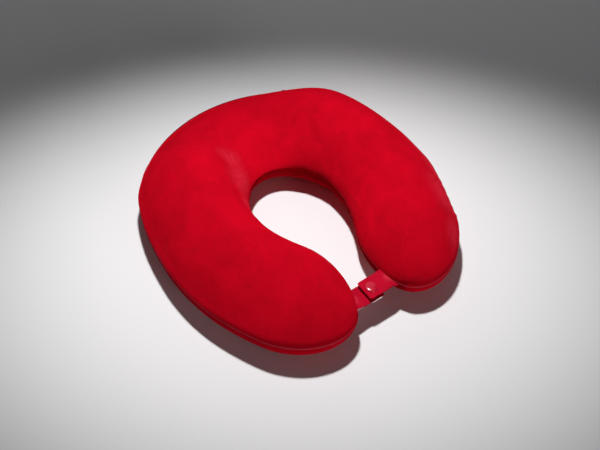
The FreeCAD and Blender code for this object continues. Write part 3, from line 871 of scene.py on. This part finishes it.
def strap(name, side, strap_z, nodes):
    """A flat velour strap, folded over at its edges, from its arm's seam to its free end."""
    reach, z = strap_path(strap_z)
    from_end = reach - STRAP_FREE_X
    corner = np.clip(1 - from_end / STRAP_CORNER, 0, 1)
    half_width = STRAP_HALF_WIDTH - STRAP_CORNER * (1 - np.sqrt(1 - corner ** 2))
    nose = np.clip(1 - from_end / STRAP_HALF_THICKNESS, 0, 1)
    half_thickness = STRAP_HALF_THICKNESS * np.sqrt(np.maximum(1 - nose ** 2, 0.0))
    half_thickness[-1] = 0.0
    turn = np.linspace(0, 2 * math.pi, 64, endpoint=False)
    across = np.sign(np.cos(turn)) * np.abs(np.cos(turn)) ** (2 / STRAP_SIDE_ROUNDNESS)
    over = np.sign(np.sin(turn)) * np.abs(np.sin(turn)) ** (2 / STRAP_FACE_ROUNDNESS)
    fold = np.exp(-((reach - STRAP_FOLD_AT) / STRAP_FOLD_WIDTH) ** 2)
    waver = rows_of_noise(len(reach), 41 if side > 0 else 43, [(4, 0.4), (9, 0.6)])
    points = np.empty((len(reach), len(turn), 3))
    points[..., 0] = side * reach[:, None]
    points[..., 1] = STRAP_Y + half_width[:, None] * across[None]
    skew = 1 + 0.5 * side * across[None]
    lift = STRAP_FOLD * fold[:, None] * skew + STRAP_WAVER * waver[:, None] * across[None] ** 3
    points[..., 2] = z[:, None] + half_thickness[:, None] * over[None] + lift
    points = np.concatenate([points, points[:, :1]], axis=1)
    piece = grid_object(name, points, flip=side < 0)
    close_ends(piece)
    subdivide = piece.modifiers.new("smooth", "SUBSURF")
    subdivide.levels = subdivide.render_levels = 1
    apply_modifiers(piece)
    paint(piece, STRAP_VELOUR)
    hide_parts(*nodes)
    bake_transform(piece)


def close_ends(piece):
    """Fills a piece's open ends and turns its faces outwards."""
    shape = bmesh.new()
    shape.from_mesh(piece.data)
    bmesh.ops.holes_fill(shape, edges=[edge for edge in shape.edges if edge.is_boundary])
    bmesh.ops.recalc_face_normals(shape, faces=shape.faces)
    shape.to_mesh(piece.data)
    shape.free()


def snap_cap(name, node, base_z, facing, body):
    """A domed cap with a rounded rim, turned about the snap's axis."""
    turns, rings = 72, 16
    share = np.sin(np.linspace(0, 1, rings) * math.pi / 2)
    profile = [(CAP_RADIUS * r, CAP_CROWN * math.sqrt(max(1 - r ** CAP_FLATNESS, 0))) for r in share]
    profile += [(CAP_RADIUS * 0.985, -0.12 * MM), (CAP_RADIUS * 0.9, -0.2 * MM)]
    points = [(0, STRAP_Y, base_z + facing * CAP_CROWN)]
    for radius, height in profile[1:]:
        for turn in np.arange(turns) * 2 * math.pi / turns:
            x, y = radius * math.cos(turn), STRAP_Y + radius * math.sin(turn)
            points.append((x, y, base_z + facing * height))
    faces = [[0, 1 + j, 1 + (j + 1) % turns] for j in range(turns)]
    for i in range(len(profile) - 2):
        low, high = 1 + i * turns, 1 + (i + 1) * turns
        faces += [[low + j, high + j, high + (j + 1) % turns, low + (j + 1) % turns] for j in range(turns)]
    last = 1 + (len(profile) - 2) * turns
    faces.append([last + j for j in range(turns)])
    piece = loose_object(name, points, faces, SNAP, body)
    close_ends(piece)
    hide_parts(node)


def care_label():
    """A blank satin label: out of the seam, folded back under itself, and drooping."""
    steps = np.linspace(0, 1, 14)
    droop = LABEL_DROOP[0] + (LABEL_DROOP[1] - LABEL_DROOP[0]) * steps
    out = np.cumsum(np.cos(droop)) * LABEL_LENGTH / len(steps)
    down = np.cumsum(np.sin(droop)) * LABEL_LENGTH / len(steps)
    upper = np.stack([out, -down], 1)
    fold = upper[-1] + LABEL_LAYER_GAP * np.array([[0.4, -0.3], [0.25, -0.8]])
    lower = upper[::-1] + np.array([-0.3, -1.0]) * LABEL_LAYER_GAP
    outline = np.concatenate([upper, fold, lower])
    width = np.linspace(-LABEL_HALF_WIDTH, LABEL_HALF_WIDTH, 16)
    along, height = outline[:, 0], outline[:, 1]
    curl = LABEL_CURL * np.outer(along / LABEL_LENGTH, (width / LABEL_HALF_WIDTH) ** 2)
    radius = LABEL_ROOT_RADIUS + along[:, None]
    sin, cos = math.sin(LABEL_ANGLE), math.cos(LABEL_ANGLE)
    points = np.stack([radius * sin + width[None] * cos, BACK_CENTRE_Y + radius * cos - width[None] * sin,
                       SEAM_Z + height[:, None] - curl], -1)
    piece = grid_object("care_label_satin", points, flip=True)
    thicken(piece, LABEL_THICKNESS)
    paint(piece, LABEL)
    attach(piece, "pillow")
    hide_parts("care_label")


def finish_cad_nodes():
    """Materials of the CAD's own nodes."""
    for name, material in NODE_FINISHES.items():
        paint(frame["nodes"][name], material)


# ---------------------------------------------------------------- studio

def aimed(name, light, place, towards, right):
    """A lamp at a place, pointing at another, with its X axis along right as nearly as it can be."""
    back = (place - towards).normalized()
    across = (right - right.dot(back) * back).normalized()
    lamp = bpy.data.objects.new(name, light)
    lamp.matrix_world = Matrix((across, back.cross(across), back)).transposed().to_4x4()
    lamp.location = place
    bpy.context.scene.collection.objects.link(lamp)
    return lamp


def studio():
    """Camera, a pool of key light, soft fill lights, a dim sky and a pale floor."""
    scene = bpy.context.scene
    scene.view_settings.view_transform = "Standard"
    target = Vector((0, BACK_CENTRE_Y, 0))
    flat = CAMERA_DISTANCE * math.cos(PHOTO_ELEVATION)
    camera = bpy.data.objects.new("camera", bpy.data.cameras.new("camera"))
    camera.location = target + Vector((-flat * math.sin(PHOTO_TURN), -flat * math.cos(PHOTO_TURN),
                                       CAMERA_DISTANCE * math.sin(PHOTO_ELEVATION)))
    camera.rotation_euler = (target - camera.location).to_track_quat("-Z", "Y").to_euler()
    camera.data.sensor_width = SENSOR_WIDTH_MM
    camera.data.lens = SENSOR_WIDTH_MM * LENS_PER_SENSOR
    camera.data.shift_x, camera.data.shift_y = CAMERA_SHIFT
    scene.collection.objects.link(camera)
    scene.camera = camera

    right = Vector((math.cos(PHOTO_TURN), -math.sin(PHOTO_TURN), 0))
    away = Vector((math.sin(PHOTO_TURN), math.cos(PHOTO_TURN), 0))
    key = bpy.data.lights.new("key", "SPOT")
    key.energy = 32.0
    key.spot_size = math.radians(43)
    key.spot_blend = 1.0
    key.shadow_soft_size = 0.028
    pool = target + POOL_CENTRE * away + POOL_ASIDE * right
    lamp = aimed("key", key, target + Vector(LIGHT_PLACE), pool, right)
    lamp.scale = POOL_STRETCH

    glow = bpy.data.lights.new("glow", "AREA")
    glow.shape = "DISK"
    glow.size = 1.4
    glow.energy = 1.8
    aimed("glow", glow, target + 1.0 * away + Vector((0, 0, 0.8)), target + 1.15 * away, right)

    side = bpy.data.lights.new("side", "AREA")
    side.shape = "RECTANGLE"
    side.size, side.size_y = 0.08, 0.8
    side.energy = 0.11
    aimed("side", side, target - 0.9 * right + 0.15 * away + Vector((0, 0, 0.75)), target, right)

    front = bpy.data.lights.new("front", "SUN")
    front.angle = math.radians(30)
    front.energy = 1.1
    aimed("front", front, target - 1.2 * away + 0.9 * right + Vector((0, 0, 0.13)), target, right)

    world = bpy.data.worlds.new("studio")
    world.use_nodes = True
    sky = world.node_tree.nodes["Background"].inputs
    sky["Color"].default_value = (0.9, 0.92, 1.0, 1)
    sky["Strength"].default_value = 0.03
    scene.world = world

    corners = [[[x, y, 0.0] for y in (-FLOOR_HALF_SIZE, FLOOR_HALF_SIZE)]
               for x in (-FLOOR_HALF_SIZE, FLOOR_HALF_SIZE)]
    floor = grid_object("floor", np.array(corners), flip=True)
    floor.location.z = -FLOOR_DROP
    material = bpy.data.materials.new("floor")
    material.use_nodes = True
    shader = material.node_tree.nodes["Principled BSDF"]
    shader.inputs["Base Color"].default_value = (0.82, 0.82, 0.83, 1)
    shader.inputs["Roughness"].default_value = 0.9
    shader.inputs["Specular IOR Level"].default_value = 0.1
    paint(floor, material)


finish_cad_nodes()
top_moved, bottom_moved = cloth_relief()
top_panel = cover_panel("cover_top_velour", "cover_top_panel", True, TOP_PROFILE_POINTS, top_moved)
bottom_panel = cover_panel("cover_bottom_velour", "cover_bottom_panel", False, BOTTOM_PROFILE_POINTS,
                           bottom_moved)
stitched_line("zipper_stitching_upper", top_panel)
stitched_line("zipper_stitching_lower", bottom_panel)
zipper_coil("zipper_coil_loops_upper", "zipper_coil_upper", 1)
zipper_coil("zipper_coil_loops_lower", "zipper_coil_lower", -1)
strap("strap_right_velour", 1, UPPER_STRAP_Z, ["strap_right_sleeve", "strap_right_tab"])
strap("strap_left_velour", -1, LOWER_STRAP_Z, ["strap_left_sleeve", "strap_left_tab"])
snap_cap("snap_cap_dome", "snap_cap", UPPER_STRAP_Z + STRAP_HALF_THICKNESS, 1, "strap_right")
snap_cap("snap_stud_cap_dome", "snap_stud_cap", LOWER_STRAP_Z - STRAP_HALF_THICKNESS, -1, "strap_left")
care_label()
studio()
